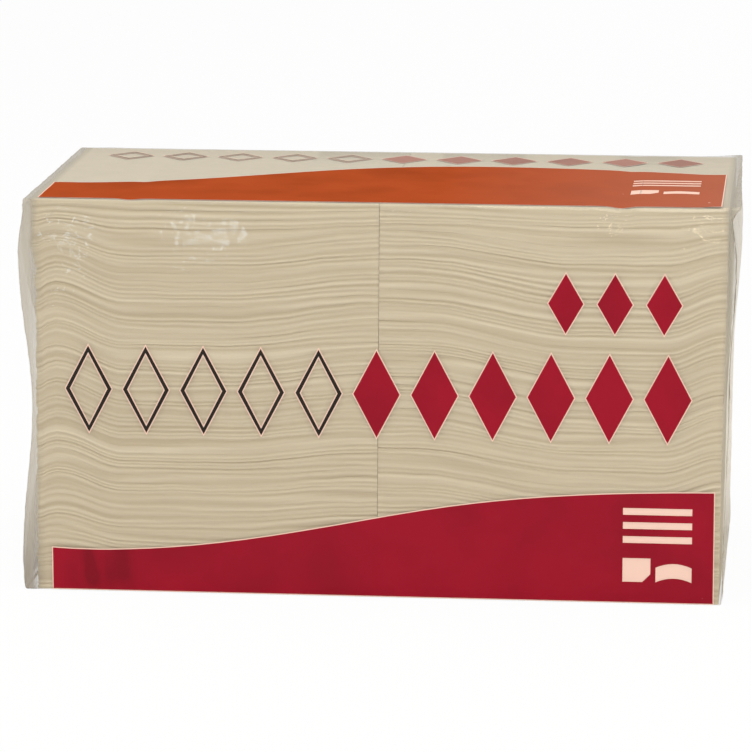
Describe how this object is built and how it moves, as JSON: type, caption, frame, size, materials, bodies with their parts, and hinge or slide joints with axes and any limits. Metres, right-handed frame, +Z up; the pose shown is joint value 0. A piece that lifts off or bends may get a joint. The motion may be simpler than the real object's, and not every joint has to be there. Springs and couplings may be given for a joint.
{
  "type": "wrapped pack of paper napkins",
  "caption": "Box-shaped pack of quarter-folded paper napkins, two stacks side by side, tightly wrapped in clear printed film with folded ends.",
  "frame": {"origin": "middle of the underside of the pack", "axes": "+X to the right along the two stacks, -Y is the printed front, +Z up"},
  "size_m": [0.3104, 0.1494, 0.1727],
  "materials": {
    "napkin_paper": "soft uncoated natural tissue paper, light brown, folded in layers",
    "clear_film": "clear glossy polythene film, slightly wrinkled",
    "red_ink": "dark red ink printed on glossy film",
    "orange_ink": "brighter red ink on the top of the glossy film",
    "black_ink": "near-black ink printed on glossy film"
  },
  "bodies": {
    "root": {"film_wrap": "clear_film", "napkins_left_01": "napkin_paper", "napkins_left_02": "napkin_paper", "napkins_left_03": "napkin_paper", "napkins_left_04": "napkin_paper", "napkins_left_05": "napkin_paper", "napkins_left_06": "napkin_paper", "napkins_left_07": "napkin_paper", "napkins_left_08": "napkin_paper", "napkins_left_09": "napkin_paper", "napkins_left_10": "napkin_paper", "napkins_left_11": "napkin_paper", "napkins_left_12": "napkin_paper", "napkins_left_13": "napkin_paper", "napkins_left_14": "napkin_paper", "napkins_left_15": "napkin_paper", "napkins_left_16": "napkin_paper", "napkins_left_17": "napkin_paper", "napkins_left_18": "napkin_paper", "napkins_left_19": "napkin_paper", "napkins_left_20": "napkin_paper", "napkins_left_21": "napkin_paper", "napkins_left_22": "napkin_paper", "napkins_left_23": "napkin_paper", "napkins_left_24": "napkin_paper", "napkins_left_25": "napkin_paper", "napkins_right_01": "napkin_paper", "napkins_right_02": "napkin_paper", "napkins_right_03": "napkin_paper", "napkins_right_04": "napkin_paper", "napkins_right_05": "napkin_paper", "napkins_right_06": "napkin_paper", "napkins_right_07": "napkin_paper", "napkins_right_08": "napkin_paper", "napkins_right_09": "napkin_paper", "napkins_right_10": "napkin_paper", "napkins_right_11": "napkin_paper", "napkins_right_12": "napkin_paper", "napkins_right_13": "napkin_paper", "napkins_right_14": "napkin_paper", "napkins_right_15": "napkin_paper", "napkins_right_16": "napkin_paper", "napkins_right_17": "napkin_paper", "napkins_right_18": "napkin_paper", "napkins_right_19": "napkin_paper", "napkins_right_20": "napkin_paper", "napkins_right_21": "napkin_paper", "napkins_right_22": "napkin_paper", "napkins_right_23": "napkin_paper", "napkins_right_24": "napkin_paper", "napkins_right_25": "napkin_paper", "print_badge_front": "red_ink", "print_band_front": "red_ink", "print_band_top": "orange_ink", "print_lozenges_front": "red_ink", "print_lozenges_top": "red_ink", "print_outlines_front": "black_ink", "print_outlines_top": "black_ink"}
  },
  "joints": []
}
